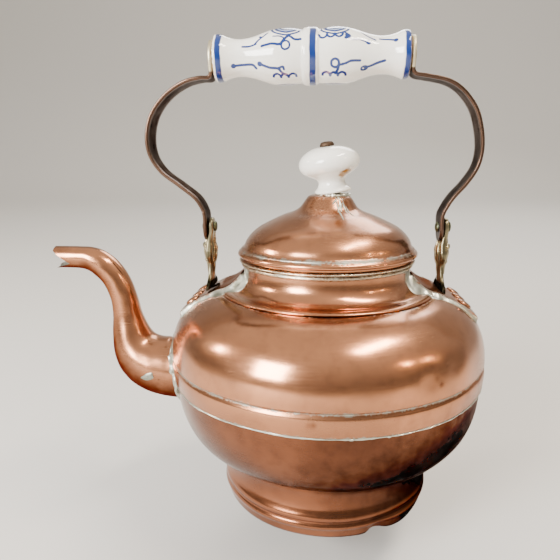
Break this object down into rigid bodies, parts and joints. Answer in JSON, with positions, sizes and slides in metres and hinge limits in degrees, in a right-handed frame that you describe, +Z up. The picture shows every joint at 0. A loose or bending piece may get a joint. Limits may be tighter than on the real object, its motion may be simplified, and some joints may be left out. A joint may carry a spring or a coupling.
{
  "type": "water kettle",
  "caption": "Footed copper water kettle with a swan-neck spout, a lift-off domed lid with a porcelain knob, and a hinged strap bail with a porcelain grip.",
  "frame": {"origin": "middle of the kettle's box, on the floor it stands on", "axes": "+Z up, the spout points along -X, and the bail lies in the XZ plane at rest"},
  "size_m": [0.2732, 0.1958, 0.2879],
  "materials": {
    "copper": "aged polished copper sheet, dulled and lightly scratched",
    "dark_copper": "dark tarnished copper, worn bright on its edges",
    "brass": "cast brass, dull, dark in the hollows with green traces",
    "solder": "old tin solder, grey-white and lumpy",
    "porcelain": "glazed white porcelain, blue hand painting on the grip",
    "iron": "dark brown iron"
  },
  "bodies": {
    "kettle": {"foot_ring": "copper", "lower_bowl": "dark_copper", "upper_shell": "copper", "seam_solder": "solder", "neck_collar": "copper", "neck_bead": "solder", "spout": "copper", "spout_solder": "solder", "lug_plate_spout_side": "copper", "lug_spout_side": "brass", "plate_solder_spout_side_1": "solder", "plate_solder_spout_side_2": "solder", "plate_rivet_spout_side_1": "copper", "plate_rivet_spout_side_2": "copper", "plate_rivet_spout_side_3": "copper", "lug_plate_far_side": "copper", "lug_far_side": "brass", "plate_solder_far_side_1": "solder", "plate_solder_far_side_2": "solder", "plate_rivet_far_side_1": "copper", "plate_rivet_far_side_2": "copper", "plate_rivet_far_side_3": "copper"},
    "bail": {"bail_strap_spout_side": "dark_copper", "bail_strap_far_side": "dark_copper", "pivot_rivet_spout_side": "brass", "pivot_rivet_far_side": "brass", "grip": "porcelain", "grip_rod": "iron"},
    "lid": {"lid_dome": "copper", "lid_sleeve": "copper", "knob_bedding": "solder", "knob": "porcelain", "knob_bolt": "iron", "knob_washer": "iron", "knob_nut": "iron"}
  },
  "joints": [
    {"name": "bail_hinge", "type": "hinge", "parent": "kettle", "child": "bail", "pos_m": [0.03875, 0, 0.1725], "axis": [1, 0, 0], "range_deg": [-90, 90]},
    {"name": "lid_lift", "type": "slide", "parent": "kettle", "child": "lid", "axis": [0, 0, 1], "range_m": [0, 0.03]}
  ]
}
